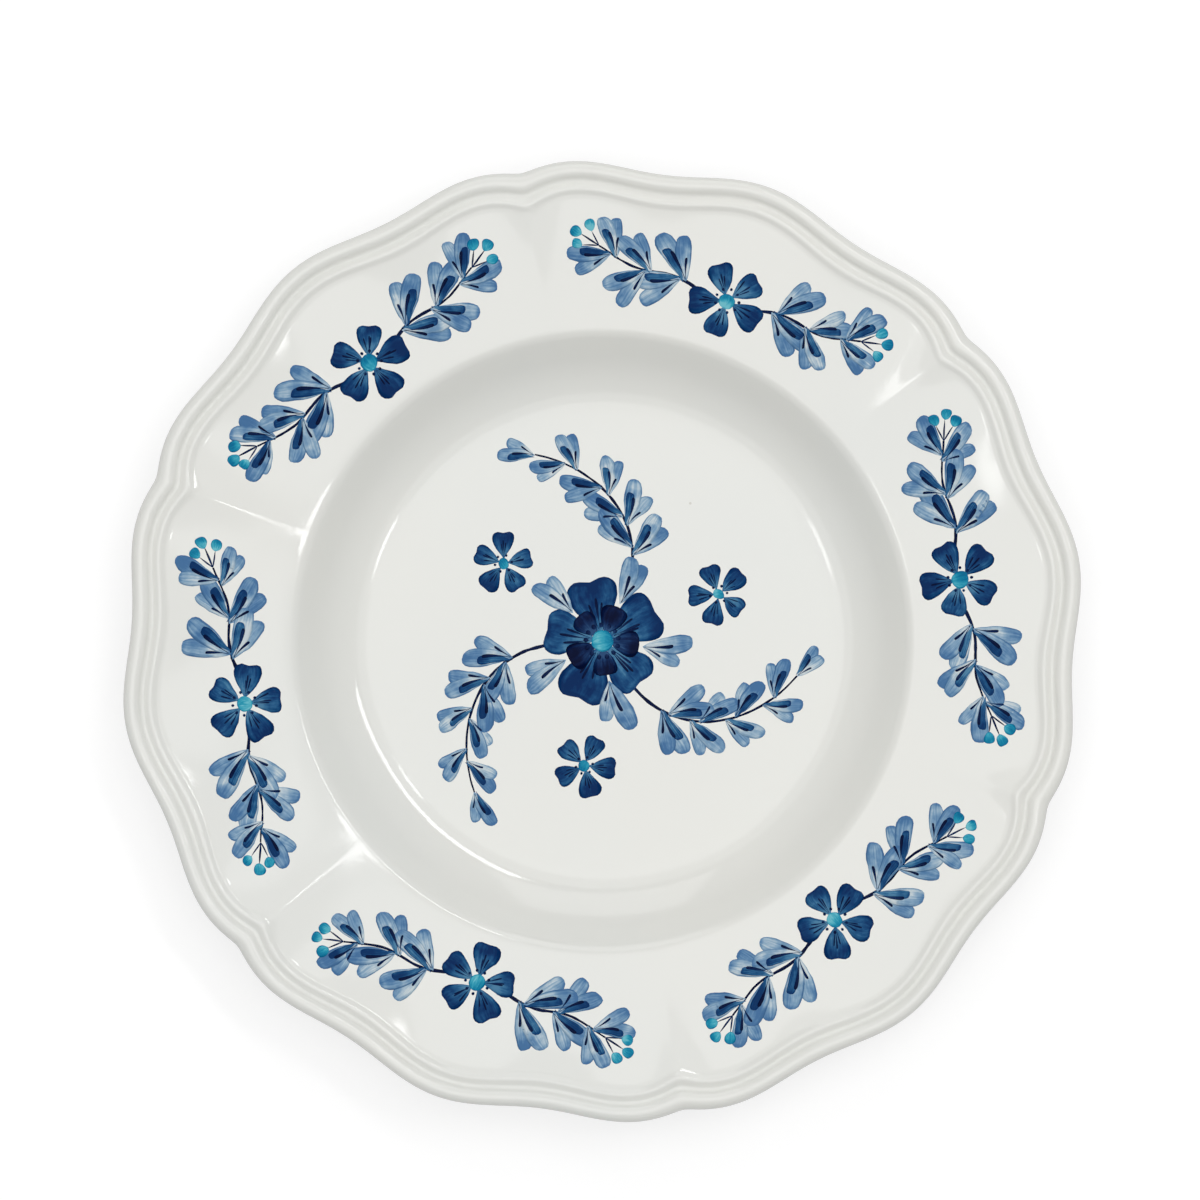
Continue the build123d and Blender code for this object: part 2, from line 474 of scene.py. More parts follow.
def mixed(tree, share, a, b):
    node = tree.nodes.new("ShaderNodeMix")
    node.data_type = "RGBA"
    feed(tree, node.inputs["Factor"], share)
    for socket, colour in zip((node.inputs[6], node.inputs[7]), (a, b)):
        feed(tree, socket, colour if isinstance(colour, bpy.types.NodeSocket) else (*colour, 1.0))
    return node.outputs[2]


def objectPlace(tree):
    return tree.nodes.new("ShaderNodeTexCoord").outputs["Object"]


def glossOf(tree, shader, place):
    # the glaze ripples a little, so that what it mirrors wavers
    look = glazeFinish
    slow = noise(tree, place, look["rippleScale"], detail=1.0)
    fine = noise(tree, place, look["fineRippleScale"])
    bump = nodeOf(tree, "ShaderNodeBump", {
        "Height": calc(tree, "MULTIPLY_ADD", fine, look["fineRipple"], slow),
        "Strength": look["ripple"], "Distance": look["rippleDepth"],
    })
    feed(tree, shader.inputs["Normal"], bump.outputs[0])
    patches = noise(tree, place, look["roughnessScale"])
    feed(tree, shader.inputs["Roughness"], spread(tree, patches, *usualNoise, *look["roughness"]))
    shader.inputs["IOR"].default_value = look["ior"]


def glazeMaterial():
    material, tree, shader = newMaterial("whiteGlaze")
    place = objectPlace(tree)
    glossOf(tree, shader, place)
    look = glazeFinish
    clouds = spread(tree, noise(tree, place, look["tintScale"], detail=3.0), *middleNoise)
    tint = mixed(tree, clouds, look["white"], look["warmWhite"])

    # a few tiny specks of iron, as fired glaze has
    cells = nodeOf(tree, "ShaderNodeTexVoronoi", {"Vector": place, "Scale": look["speckScale"]})
    speck = calc(tree, "LESS_THAN", cells.outputs["Distance"], look["speckSize"])
    draw = nodeOf(tree, "ShaderNodeSeparateColor", {0: cells.outputs["Color"]}).outputs[0]
    speck = calc(tree, "MULTIPLY", speck, calc(tree, "GREATER_THAN", draw, look["speckRarity"]))
    speck = calc(tree, "MULTIPLY", speck, look["speckStrength"])
    tint = mixed(tree, speck, tint, look["speckColour"])
    feed(tree, shader.inputs["Base Color"], tint)
    return material


def paintMaterial(
    name, pigment, thin, thick, base=0.3, tip=0.7, streaks=0.25, pools=0.3, tide=0.35,
):
    # one brush mark of thinned paint: how much pigment lies where decides the colour
    material, tree, shader = newMaterial(name)
    place = objectPlace(tree)
    glossOf(tree, shader, place)
    look = paintFinish
    shader.inputs["Specular IOR Level"].default_value = look["gloss"]
    along, across, tone = [
        nodeOf(tree, "ShaderNodeAttribute", attribute_name=label).outputs["Fac"]
        for label in ("along", "across", "tone")
    ]
    shift = calc(tree, "MULTIPLY", tone, look["markShift"])
    hairs = combine(
        tree, calc(tree, "MULTIPLY_ADD", along, look["hairsAlong"], shift),
        calc(tree, "MULTIPLY", across, look["hairsAcross"]), shift,
    )
    streak = noise(tree, hairs, scale=1.0, detail=3.0, roughness=0.6)
    streak = spread(tree, streak, *usualNoise, -1.0, 1.0)
    pool = noise(tree, place, look["poolScale"], detail=3.0)
    pool = spread(tree, pool, *middleNoise, -1.0, 1.0)
    edge = calc(tree, "MAXIMUM", *[
        calc(tree, "ABSOLUTE", calc(tree, "MULTIPLY_ADD", way, 2.0, -1.0))
        for way in (along, across)
    ])
    edge = spread(tree, edge, look["tideStart"], look["tideEnd"], smooth=True)
    nearTip = spread(tree, along, look["baseUntil"], look["tipFrom"], smooth=True)
    load = between(tree, nearTip, base, tip)
    load = calc(tree, "MULTIPLY_ADD", streak, streaks, load)
    load = calc(tree, "MULTIPLY_ADD", pool, pools, load)
    load = calc(tree, "MULTIPLY_ADD", edge, tide, load)
    load = calc(tree, "ADD", load, calc(tree, "SUBTRACT", tone, 0.5))
    density = spread(tree, load, 0.0, 1.0, thin, thick)
    channels = []
    for white, strength in zip(look["ground"], look[pigment]):
        passed = calc(tree, "EXPONENT", calc(tree, "MULTIPLY", density, -strength))
        channels.append(calc(tree, "MULTIPLY", white, passed))
    colour = nodeOf(tree, "ShaderNodeCombineColor", dict(enumerate(channels)))
    feed(tree, shader.inputs["Base Color"], colour.outputs[0])
    return material


def biscuitMaterial():
    material, tree, shader = newMaterial("bareBiscuit")
    place = objectPlace(tree)
    look = biscuitFinish
    grain = noise(tree, place, look["grainScale"], detail=4.0, roughness=0.65)
    wear = spread(tree, noise(tree, place, look["wearScale"], detail=4.0), *look["wearRange"])
    tint = mixed(tree, calc(tree, "MULTIPLY", wear, grain), look["clay"], look["worn"])
    feed(tree, shader.inputs["Base Color"], tint)
    bump = nodeOf(tree, "ShaderNodeBump", {
        "Height": grain, "Strength": look["grainStrength"], "Distance": look["grainDepth"],
    })
    feed(tree, shader.inputs["Normal"], bump.outputs[0])
    feed(tree, shader.inputs["Roughness"], spread(tree, grain, *usualNoise, *look["roughness"]))
    return material


# the glaze coat, the glazed recess and the bare foot

whiteGlaze = glazeMaterial()
outer = skinRows(0.0, 1.0)
inner = skinRows(p["glazeThickness"], 0.28)  # hidden, so it needs fewer rows
profile = meshPiece("template", [(x * mm, 0.0, z * mm) for x, z in outer + inner[::-1]])
lobeSizes["Glaze"] = whiteGlaze
glazeCoat = grown(profile, turnedPlateTree(lobeSizes), lobeSizes, "glazeCoat")
bpy.data.objects.remove(profile)
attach(glazeCoat, "root")
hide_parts("glaze_coat")

for name, material in (("recess_glaze", whiteGlaze), ("ceramic_body", biscuitMaterial())):
    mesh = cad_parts[name].data
    mesh.materials.clear()
    mesh.materials.append(material)


# painted decoration: marks of a loaded brush, laid on the glaze and repeated round the plate

slabHeight = 0.1  # how thick a mark is before it is laid down and becomes a thin film


def laidDown(tree, geometry, given):
    # drops every point on the glaze below it; "mark over" says which side of the film it is on
    x, y, _ = split(tree, placeOf(tree))
    flat = combine(tree, x, y, 0.0)
    wander = nodeOf(tree, "ShaderNodeTexNoise", {
        "Vector": flat, "Scale": given["Waver scale"], "Detail": 1.0,
    })
    dx, dy, _ = split(tree, wander.outputs["Color"])
    x = calc(tree, "MULTIPLY_ADD", calc(tree, "SUBTRACT", dx, 0.5), given["Waver"], x)
    y = calc(tree, "MULTIPLY_ADD", calc(tree, "SUBTRACT", dy, 0.5), given["Waver"], y)
    skin = nodeOf(tree, "GeometryNodeObjectInfo", {"Object": given["Surface"]})
    drop = nodeOf(tree, "GeometryNodeRaycast", {
        "Target Geometry": skin.outputs["Geometry"],
        "Source Position": combine(tree, x, y, given["Drop height"]),
        "Ray Direction": (0.0, 0.0, -1.0), "Ray Length": given["Drop height"],
    })
    level = split(tree, drop.outputs["Hit Position"])[2]
    over = recalled(tree, "mark over")
    order = recalled(tree, "mark order")
    lift = calc(tree, "MULTIPLY_ADD", order, given["Step between marks"], given["Lift"])
    level = calc(tree, "ADD", level, between(tree, over, given["Sink"], lift))
    laid = movedTo(tree, geometry, combine(tree, x, y, level))

    # the film's face is smooth; its edge, with "mark over" between 0 and 1, is a sharp step
    onFace = calc(tree, "ABSOLUTE", calc(tree, "SUBTRACT", over, 0.5))
    onFace = calc(tree, "GREATER_THAN", onFace, 0.4)
    shaded = nodeOf(tree, "GeometryNodeSetShadeSmooth", {"Geometry": laid, "Shade Smooth": onFace})
    bare = nodeOf(tree, "GeometryNodeRemoveAttribute", {
        "Geometry": shaded.outputs[0], "Name": "mark *",
    }, pattern_mode="WILDCARD")
    return finished(tree, bare.outputs[0], given["Paint"])


def roundThePlate(tree, geometry, repeats, domain):
    # copies the marks of one repeat round the axis
    copies = nodeOf(tree, "GeometryNodeDuplicateElements", {
        "Geometry": geometry, "Amount": repeats,
    }, domain=domain)
    copyIndex = copies.outputs["Duplicate Index"]
    turnedBy = calc(tree, "DIVIDE", calc(tree, "MULTIPLY", copyIndex, fullTurn), repeats)
    turned = nodeOf(tree, "ShaderNodeVectorRotate", {
        "Vector": placeOf(tree), "Angle": turnedBy,
    }, rotation_type="Z_AXIS").outputs[0]
    return movedTo(tree, copies.outputs[0], turned), copyIndex, turnedBy


def brushMarkTree(sizes):
    tree, given = geometryTree("brushMarks", sizes)

    # one mark of unit length along x: a slab with a rounded belly and blunt ends
    sheet = nodeOf(tree, "GeometryNodeMeshGrid", {
        "Size X": 1.0, "Size Y": 1.0,
        "Vertices X": given["Steps along"], "Vertices Y": given["Steps across"],
    })
    x, y, _ = split(tree, placeOf(tree))
    turn = calc(tree, "MULTIPLY", calc(tree, "ADD", x, 0.5), pi)
    along = calc(tree, "MULTIPLY_ADD", calc(tree, "COSINE", turn), -0.5, 0.5)
    rest = calc(tree, "SUBTRACT", 1.0, along)
    belly = given["Fullest at"]
    afterBelly = calc(tree, "SUBTRACT", 1.0, belly)
    baseTaper = calc(tree, "MULTIPLY", given["Base taper"], belly)
    tipTaper = calc(tree, "MULTIPLY", given["Tip taper"], afterBelly)
    rise = calc(tree, "POWER", calc(tree, "DIVIDE", along, belly), baseTaper)
    fall = calc(tree, "POWER", calc(tree, "DIVIDE", rest, afterBelly), tipTaper)
    width = calc(tree, "MULTIPLY", calc(tree, "MULTIPLY", rise, fall), given["Width"])
    width = calc(tree, "MAXIMUM", width, given["Least width"])
    aside = calc(tree, "ABSOLUTE", calc(tree, "MULTIPLY", y, width))
    cleftWidth = calc(tree, "MULTIPLY", given["Width"], given["Cleft width"])
    inCleft = spread(tree, aside, 0.0, cleftWidth, 1.0, 0.0, smooth=True)
    nearTip = spread(tree, along, given["Cleft from"], 1.0, smooth=True)
    notch = calc(tree, "MULTIPLY", calc(tree, "MULTIPLY", nearTip, inCleft), given["Cleft"])
    tip = calc(tree, "SUBTRACT", along, notch)
    sheet = kept(tree, sheet.outputs["Mesh"], "along", along)
    sheet = kept(tree, sheet, "across", calc(tree, "ADD", y, 0.5))
    shaped = movedTo(tree, sheet, combine(tree, tip, calc(tree, "MULTIPLY", y, width), 0.0))
    raised = nodeOf(tree, "GeometryNodeExtrudeMesh", {
        "Mesh": shaped, "Offset": (0.0, 0.0, 1.0), "Offset Scale": slabHeight, "Individual": False,
    })
    under = nodeOf(tree, "GeometryNodeFlipFaces", {"Mesh": shaped})
    slab = nodeOf(tree, "GeometryNodeMergeByDistance", {
        "Geometry": joined(tree, [raised.outputs["Mesh"], under.outputs[0]]), "Distance": 1e-5,
    }).outputs[0]
    height = split(tree, placeOf(tree))[2]
    slab = kept(tree, slab, "mark over", calc(tree, "GREATER_THAN", height, slabHeight / 2))
    repeats = recalled(tree, "mark repeats", "INT")
    points, _, turnedBy = roundThePlate(tree, given["Geometry"], repeats, "POINT")

    def drift(amount, middle):
        # the hand drifts a little with each mark
        value = tree.nodes.new("FunctionNodeRandomValue")
        feed(tree, value.inputs[2], calc(tree, "SUBTRACT", middle, amount))
        feed(tree, value.inputs[3], calc(tree, "ADD", middle, amount))
        feed(tree, value.inputs[8], given["Seed"])
        return value.outputs[1]

    heading = calc(tree, "ADD", recalled(tree, "mark heading"), turnedBy)
    heading = calc(tree, "ADD", heading, drift(given["Heading drift"], 0.0))
    drawnLength = recalled(tree, "mark length")
    length = calc(tree, "MULTIPLY", drawnLength, drift(given["Length drift"], 1.0))
    tone = calc(tree, "ADD", recalled(tree, "tone"), drift(given["Tone drift"], 0.0))
    index = nodeOf(tree, "GeometryNodeInputIndex").outputs[0]
    order = calc(tree, "MODULO", index, given["Marks in a stack"])
    for label, value in (
        ("mark heading", heading), ("mark length", length), ("tone", tone), ("mark order", order),
    ):
        points = kept(tree, points, label, value)
    reach = calc(tree, "MULTIPLY", recalled(tree, "mark length"), given["Reach"])
    marks = nodeOf(tree, "GeometryNodeInstanceOnPoints", {
        "Points": points, "Instance": slab, "Scale": combine(tree, reach, reach, reach),
        "Rotation": combine(tree, 0.0, 0.0, recalled(tree, "mark heading")),
    })
    real = nodeOf(tree, "GeometryNodeRealizeInstances", {0: marks.outputs[0]}).outputs[0]

    # the mark starts a little way out and sweeps to its own side
    heading, length = recalled(tree, "mark heading"), recalled(tree, "mark length")
    share = recalled(tree, "along")
    shareSquared = calc(tree, "MULTIPLY", share, share)
    sweep = calc(tree, "MULTIPLY_ADD", shareSquared, given["Sweep"], given["Side shift"])
    aside = calc(tree, "MULTIPLY", sweep, recalled(tree, "mark side"))
    aside = calc(tree, "MULTIPLY", aside, length)
    onward = calc(tree, "MULTIPLY", given["Start"], length)
    x, y, _ = split(tree, placeOf(tree))
    cosine, sine = calc(tree, "COSINE", heading), calc(tree, "SINE", heading)
    onX, onY = [calc(tree, "MULTIPLY", onward, side) for side in (cosine, sine)]
    asideX, asideY = [calc(tree, "MULTIPLY", aside, side) for side in (sine, cosine)]
    x = calc(tree, "ADD", x, calc(tree, "SUBTRACT", onX, asideX))
    y = calc(tree, "ADD", y, calc(tree, "ADD", onY, asideY))
    swept = combine(tree, x, y, 0.0)
    return laidDown(tree, movedTo(tree, real, swept), given)


def brushLineTree(sizes):
    # a stem: a ribbon along a drawn line, pressed harder here and there and lifted to its end
    tree, given = geometryTree("brushLines", sizes)
    line = nodeOf(tree, "GeometryNodeMeshToCurve", {"Mesh": given["Geometry"]}).outputs[0]
    repeats = recalled(tree, "mark repeats", "INT")
    lines, copyIndex, _ = roundThePlate(tree, line, repeats, "SPLINE")
    order = calc(tree, "MODULO", copyIndex, given["Marks in a stack"])
    lines = nodeOf(tree, "GeometryNodeResampleCurve", {
        "Curve": lines, "Count": given["Steps along"],
    }).outputs[0]
    share = nodeOf(tree, "GeometryNodeSplineParameter").outputs["Factor"]
    lines = kept(tree, lines, "along", share)
    lines = kept(tree, lines, "mark order", order)
    press = noise(tree, placeOf(tree), given["Pressure scale"], detail=1.0)
    press = calc(tree, "SUBTRACT", press, 0.5)
    press = calc(tree, "MULTIPLY_ADD", press, given["Pressure drift"], 1.0)
    width = between(tree, share, given["Width at start"], given["Width at end"])
    width = calc(tree, "MULTIPLY", width, press)
    section = nodeOf(tree, "GeometryNodeCurvePrimitiveQuadrilateral", {
        "Width": 1.0, "Height": slabHeight,
    })
    ribbon = nodeOf(tree, "GeometryNodeCurveToMesh", {
        "Curve": lines, "Profile Curve": section.outputs[0], "Scale": width, "Fill Caps": True,
    }).outputs[0]
    height = split(tree, placeOf(tree))[2]
    ribbon = kept(tree, ribbon, "mark over", calc(tree, "GREATER_THAN", height, 0.0))
    return laidDown(tree, ribbon, given)


# where the brush touches down in one repeat, in degrees round the plate and millimetres

sprayShape = {
    "repeats": 6,
    "lowRadius": 101.5,
    "climb": 8.5,
    "reach": 20.6,
    "ripple": 1.1,
    "ripples": 1.1,
    "blossomRoom": 5.0,
    "leafPairs": 3,
    "leafLength": 15.6,
    "leafShrink": 0.76,
    "lean": 45.0,
}
blossomShape = {
    "petals": 5,
    "petalLength": 9.4,
    "petalStart": 1.6,
    "heart": 4.6,
    "seeds": 9,
    "seedRing": 3.3,
    "seed": 0.9,
}
sprigShape = {"spread": 30.0, "stalk": 5.0, "middleStalk": 1.25, "berry": 3.3, "overlap": 0.4}
posyShape = {
    "repeats": 3,
    "petals": 5,
    "outerPetal": 15.5,
    "innerPetal": 8.2,
    "petalStart": 2.0,
    "heart": 6.0,
    "seeds": 13,
    "seedStart": 3.9,
    "seed": 1.4,
    "leafStart": 11.5,
    "leafLength": 14.0,
    "leafTurn": 54.0,
    "sprayStart": 13.0,
    "sprayEnd": 56.0,
    "sprayBearing": 54.0,
    "sprayTurn": 46.0,
    "sprayCurl": 1.6,
    "leafPairs": 4,
    "sprayLeaf": 15.4,
    "leafShrink": 0.68,
    "lean": 47.0,
    "firstLeaf": 0.32,
}
smallBlossomShape = {
    "radius": 35.5,
    "bearing": 12.0,
    "petal": 7.6,
    "petalStart": 1.3,
    "turn": 30.0,
    "heart": 3.2,
    "seeds": 6,
    "seedStart": 2.0,
    "seed": 0.8,
}


def polar(radius, angle):
    return Vector((radius * cos(radians(angle)), radius * sin(radians(angle))))


def headingOf(vector):
    return degrees(atan2(vector.y, vector.x))


def markAt(place, heading, length, repeats, tone=0.5, side=1.0):
    return {
        "place": place, "heading": heading, "length": length,
        "repeats": repeats, "tone": tone, "side": side,
    }


def pathOf(name, share):
    # three kinds of stem: two that climb away from a rim blossom, one that curls out of the posy
    if name == "centre":
        stem = posyShape
        bend = stem["sprayTurn"] * share ** stem["sprayCurl"]
        radius = stem["sprayStart"] + (stem["sprayEnd"] - stem["sprayStart"]) * share
        return polar(radius, stem["sprayBearing"] + bend)
    stem = sprayShape
    angle = stem["blossomRoom"] + (stem["reach"] - stem["blossomRoom"]) * share
    ripple = stem["ripple"] * sin(stem["ripples"] * fullTurn * share)
    radius = stem["lowRadius"] + stem["climb"] * (angle / stem["reach"]) ** 2 + ripple
    return polar(radius, angle if name == "left" else -angle)


def endOf(name):
    # the end of a stem and where it points there
    end = pathOf(name, 1.0)
    return end, headingOf(end - pathOf(name, 0.98))


def leavesOn(name, stem, length, first=0.16, last=0.86):
    # pairs of leaves along a stem, each leaf leaning out to its own side
    leaves = []
    pairs, repeats = stem["leafPairs"], stem["repeats"]
    ahead, apart, toneApart = 0.01, 0.025, 0.12
    for k in range(pairs):
        share = first + (last - first) * k / (pairs - 1)
        heading = headingOf(pathOf(name, share + ahead) - pathOf(name, share))
        size = length * (1.0 - (1.0 - stem["leafShrink"]) * share)
        for side in (1.0, -1.0):
            at = pathOf(name, share + apart * side)
            tone = 0.5 + toneApart * side
            leaves.append(markAt(at, heading + side * stem["lean"], size, repeats, tone, -side))
    return leaves


def ringOf(centre, count, start, length, repeats, turn=0.0):
    marks = []
    for k in range(count):
        heading = turn + 360.0 * k / count
        marks.append(markAt(centre + polar(start, heading), heading, length, repeats))
    return marks


def markPoints(name, marks):
    piece = meshPiece(name, [(m["place"].x * mm, m["place"].y * mm, 0.0) for m in marks])
    columns = {
        "mark heading": [radians(m["heading"]) for m in marks],
        "mark length": [m["length"] * mm for m in marks],
        "mark side": [m["side"] for m in marks],
        "tone": [m["tone"] for m in marks],
    }
    for label, values in columns.items():
        piece.data.attributes.new(label, "FLOAT", "POINT").data.foreach_set("value", values)
    repeats = piece.data.attributes.new("mark repeats", "INT", "POINT")
    repeats.data.foreach_set("value", [m["repeats"] for m in marks])
    return piece


def leant(marks, lean, share=1.0):
    # a second stroke of the same touch, turned to the mark's own side
    return [
        dict(m, heading=m["heading"] + lean * m["side"], length=m["length"] * share)
        for m in marks
    ]


def mirrored(marks):
    return [dict(m, side=-m["side"], tone=1.0 - m["tone"]) for m in marks]


rimStems = ("left", "right")
leaves = []
for name in rimStems:
    leaves += leavesOn(name, sprayShape, sprayShape["leafLength"])
leaves += leavesOn("centre", posyShape, posyShape["sprayLeaf"], posyShape["firstLeaf"])
end, onward = endOf("centre")
tipLeaf = posyShape["sprayLeaf"] * posyShape["leafShrink"]
leaves.append(markAt(end, onward, tipLeaf, posyShape["repeats"], tone=0.55))

blossom, rose, small = blossomShape, posyShape, smallBlossomShape
middle = Vector((0.0, 0.0))
rimFlower = polar(sprayShape["lowRadius"], 0.0)
smallFlower = polar(small["radius"], small["bearing"])
lobes, thirds = sprayShape["repeats"], posyShape["repeats"]
washLeaves = leaves + ringOf(
    middle, rose["petals"], rose["leafStart"], rose["leafLength"], 1, rose["leafTurn"],
)
petals = ringOf(
    rimFlower, blossom["petals"], blossom["petalStart"], blossom["petalLength"], lobes, turn=180.0,
)
petals += ringOf(
    smallFlower, blossom["petals"], small["petalStart"], small["petal"], thirds, small["turn"],
)
rosePetals = ringOf(middle, rose["petals"], rose["petalStart"], rose["outerPetal"], 1, turn=90.0)
roseInner = ringOf(
    middle, rose["petals"], rose["petalStart"], rose["innerPetal"], 1, rose["leafTurn"],
)
hearts = [
    markAt(centre - Vector((size / 2, 0)), 0.0, size, repeats)
    for centre, size, repeats in (
        (rimFlower, blossom["heart"], lobes),
        (smallFlower, small["heart"], thirds),
        (middle, rose["heart"], 1),
    )
]
seedStart = blossom["seedRing"] - blossom["seed"] / 2
seeds = ringOf(rimFlower, blossom["seeds"], seedStart, blossom["seed"], lobes)
seeds += ringOf(smallFlower, small["seeds"], small["seedStart"], small["seed"], thirds)
seeds += ringOf(middle, rose["seeds"], rose["seedStart"], rose["seed"], 1)
fans = petals + rosePetals
petalStrokes = fans + leant(fans, 12.0, 0.85) + leant(mirrored(fans), 12.0, 0.85)

# three berries on short stalks end each spray of the rim
berries, stalks = [], []
for name in rimStems:
    end, onward = endOf(name)
    for lean in (-sprigShape["spread"], 0.0, sprigShape["spread"]):
        reach = sprigShape["stalk"] * (sprigShape["middleStalk"] if lean == 0.0 else 1.0)
        stalks.append(markAt(end, onward + lean, reach, lobes))
        berry = end + polar(reach - sprigShape["overlap"], onward + lean)
        berries.append(markAt(berry, onward + lean, sprigShape["berry"], lobes))

# how any mark lies on the glaze, and what a mark is like where its own line doesn't say

film = {
    "Drop height": 0.05, "Sink": -0.03 * mm, "Marks in a stack": 7.0, "Surface": glazeCoat,
}
commonMark = dict(film, **{
    "Steps along": 13, "Steps across": 6, "Width": 0.4, "Least width": 0.02,
    "Fullest at": 0.45, "Base taper": 1.5, "Tip taper": 1.5,
    "Cleft": 0.0, "Cleft width": 0.34, "Cleft from": 0.6,
    "Start": 0.0, "Reach": 1.0, "Sweep": 0.0, "Side shift": 0.0,
    "Heading drift": 0.1, "Length drift": 0.08, "Tone drift": 0.18, "Seed": 4,
    "Waver": 0.9 * mm, "Waver scale": 260.0,
    "Lift": 0.012 * mm, "Step between marks": 0.001 * mm,
})
markTree = brushMarkTree(dict(commonMark, Paint=whiteGlaze))


def painted(name, marks, paint, **sizes):
    given = dict(commonMark, Paint=paint)
    given.update({key.replace("_", " "): value for key, value in sizes.items()})
    points = markPoints(name + "Points", marks)
    piece = grown(points, markTree, given, name)
    bpy.data.objects.remove(points)
    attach(piece, "root")
    return piece


wash = paintMaterial("thinWash", "thinned", thin=0.1, thick=0.9, base=0.15, tip=0.6)
shade = paintMaterial("cobaltShade", "cobalt", thin=0.85, thick=2.2, streaks=0.35)
navy = paintMaterial("navyPaint", "navy", thin=1.5, thick=2.7, pools=0.2)
petalBlue = paintMaterial("petalBlue", "cobalt", thin=0.9, thick=2.4, base=0.15, tip=0.75)
deepBlue = paintMaterial("deepBlue", "navy", thin=1.2, thick=2.8, base=0.1, tip=0.8)
heartBlue = paintMaterial("heartBlue", "turquoise", thin=0.6, thick=2.3, base=0.2, tip=0.75)

painted(
    "paintedLeaves", leant(washLeaves, 8.0) + leant(mirrored(washLeaves), 8.0, 0.86), wash,
    Width=0.36, Sweep=0.07, Fullest_at=0.56, Tip_taper=0.85,
)
painted(
    "leafShades", leant(leaves, 4.0), shade,
    Width=0.25, Reach=0.7, Side_shift=0.05, Sweep=0.09, Fullest_at=0.66, Tip_taper=0.8,
    Lift=0.024 * mm,
)
painted(
    "leafVeins", leant(washLeaves, 2.0) + leant(mirrored(washLeaves), 11.0, 0.72), navy,
    Width=0.12, Reach=0.56, Start=0.05, Sweep=0.07, Steps_across=4, Fullest_at=0.74,
    Base_taper=2.2, Tip_taper=1.0, Waver=0.3 * mm, Lift=0.036 * mm,
)
petalLook = {"Fullest_at": 0.64, "Base_taper": 1.6, "Tip_taper": 0.95}
painted("paintedPetals", petals, petalBlue, Width=0.78, Cleft=0.05, **petalLook)
painted(
    "rosePetals", rosePetals, petalBlue,
    Width=0.86, Cleft=0.06, Steps_along=20, Steps_across=12, **petalLook,
)
painted(
    "petalStrokes", petalStrokes, navy,
    Width=0.09, Reach=0.55, Start=0.12, Fullest_at=0.7, Base_taper=2.0, Tip_taper=1.2,
    Waver=0.3 * mm, Lift=0.024 * mm, Steps_across=4,
)
painted(
    "roseInner", roseInner, deepBlue,
    Width=0.86, Fullest_at=0.62, Base_taper=1.6, Tip_taper=0.95, Lift=0.036 * mm,
)
painted(
    "blossomHearts", hearts, heartBlue,
    Width=1.0, Fullest_at=0.5, Base_taper=1.0, Tip_taper=1.0, Waver=1.1 * mm,
    Lift=0.048 * mm, Heading_drift=0.0, Steps_along=15, Steps_across=9,
)
painted(
    "blossomSeeds", seeds, navy,
    Width=0.9, Fullest_at=0.5, Base_taper=1.0, Tip_taper=1.0, Waver=0.1 * mm,
    Lift=0.06 * mm, Steps_along=7, Steps_across=4,
)
painted(
    "sprigBerries", berries, heartBlue,
    Width=0.95, Fullest_at=0.55, Base_taper=1.1, Tip_taper=0.9, Waver=1.0 * mm,
    Lift=0.024 * mm, Heading_drift=0.3,
)
painted(
    "sprigStalks", stalks, navy,
    Width=0.09, Fullest_at=0.4, Steps_across=3, Waver=0.3 * mm, Heading_drift=0.0,
)


# the stems, each a drawn line that the brush follows

lineSteps = 24
lineSizes = dict(film, **{
    "Steps along": 60, "Width at start": 0.95 * mm, "Width at end": 0.5 * mm,
    "Pressure scale": 330.0, "Pressure drift": 1.1,
    "Waver": 0.3 * mm, "Waver scale": 200.0,
    "Lift": 0.008 * mm, "Step between marks": 0.0005 * mm, "Paint": navy,
})


def stemLines(name, stems):
    points, edges, repeats = [], [], []
    for stem, count in stems:
        first = len(points)
        line = [pathOf(stem, k / lineSteps) for k in range(lineSteps + 1)]
        points += [(place.x * mm, place.y * mm, 0.0) for place in line]
        edges += [(first + k, first + k + 1) for k in range(lineSteps)]
        repeats += [count] * len(line)
    piece = meshPiece(name, points, edges)
    tones = [0.5] * len(points)
    for label, kind, values in (("mark repeats", "INT", repeats), ("tone", "FLOAT", tones)):
        piece.data.attributes.new(label, kind, "POINT").data.foreach_set("value", values)
    return piece


stems = stemLines("stemLines", [("left", lobes), ("right", lobes), ("centre", thirds)])
paintedStems = grown(stems, brushLineTree(lineSizes), lineSizes, "paintedStems")
bpy.data.objects.remove(stems)
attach(paintedStems, "root")


# floor, light and camera

stageSizes = {
    # the view's height and the floor's side in metres, other lengths in millimetres
    "crestAngle": 9.85,
    "viewHeight": 1.5,
    "frameWidth": 334.7,
    "plateLow": 11.6,
    "plateRight": 0.6,
    "floorHalfSide": 3.0,
    "floorDrop": 0.05,  # just clear of the foot
    "floorGrey": 0.5,
    "floorGlow": 0.63,
    "worldStrength": 0.4,
}
softboxes = [
    # name, bearing, tilt, distance, size across and along the bearing, power, shape
    ("widePanel", 195.0, 4.0, 1.9, (2.0, 2.0), 8.3, "ELLIPSE"),
    ("middlePanel", 195.0, 4.0, 1.85, (1.0, 1.0), 2.6, "ELLIPSE"),
    ("topWindow", 90.0, 50.0, 2.0, (1.2, 1.2), 5.0, "RECTANGLE"),
    ("narrowWindow", 40.0, 27.0, 1.6, (0.84, 0.13), 3.0, "RECTANGLE"),
    ("creaseLight1", 36.0, 13.9, 1.57, (0.07, 0.1), 0.17, "RECTANGLE"),
    ("creaseLight2", 335.5, 14.1, 1.57, (0.07, 0.1), 0.17, "RECTANGLE"),
    ("creaseLight3", 203.0, 14.9, 1.56, (0.09, 0.12), 0.14, "RECTANGLE"),
]


